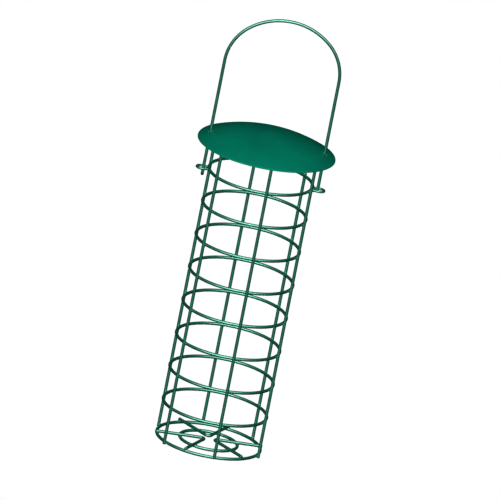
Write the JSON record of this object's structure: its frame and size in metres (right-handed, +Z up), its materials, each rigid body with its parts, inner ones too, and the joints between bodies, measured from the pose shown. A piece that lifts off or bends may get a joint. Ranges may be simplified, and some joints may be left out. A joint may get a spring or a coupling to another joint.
{
  "type": "hanging bird feeder",
  "caption": "Tall round wire cage for fat balls with a loose domed lid that slides up a wire bail, from which it hangs.",
  "frame": {"origin": "centre of the base, level with the underside of the lowest hoop", "axes": "+Z up along the cage's axis; the bail's two legs stand on the X axis; +Y to the far side"},
  "size_m": [0.1118, 0.1118, 0.3593],
  "materials": {
    "cage_wire": "satin green powder coat on steel wire",
    "bail_wire": "satin green powder coat on steel wire",
    "lid_sheet": "satin green powder coat on pressed steel sheet"
  },
  "bodies": {
    "cage": {"hoop_1": "cage_wire", "hoop_2": "cage_wire", "hoop_3": "cage_wire", "hoop_4": "cage_wire", "hoop_5": "cage_wire", "hoop_6": "cage_wire", "hoop_7": "cage_wire", "hoop_8": "cage_wire", "hoop_9": "cage_wire", "upright_1": "cage_wire", "upright_2": "cage_wire", "upright_3": "cage_wire", "upright_4": "cage_wire", "upright_5": "cage_wire", "upright_6": "cage_wire", "floor_ring": "cage_wire", "floor_vee_1": "cage_wire", "floor_vee_2": "cage_wire", "floor_vee_3": "cage_wire", "left_eye": "cage_wire", "right_eye": "cage_wire"},
    "lid": {"lid": "lid_sheet"},
    "bail": {"bail": "bail_wire"}
  },
  "joints": [
    {"name": "lid_slide", "type": "slide", "parent": "cage", "child": "lid", "axis": [0, 0, 1], "range_m": [0, 0.056]},
    {"name": "bail_slide", "type": "slide", "parent": "cage", "child": "bail", "axis": [0, 0, 1], "range_m": [-0.006, 0]}
  ]
}
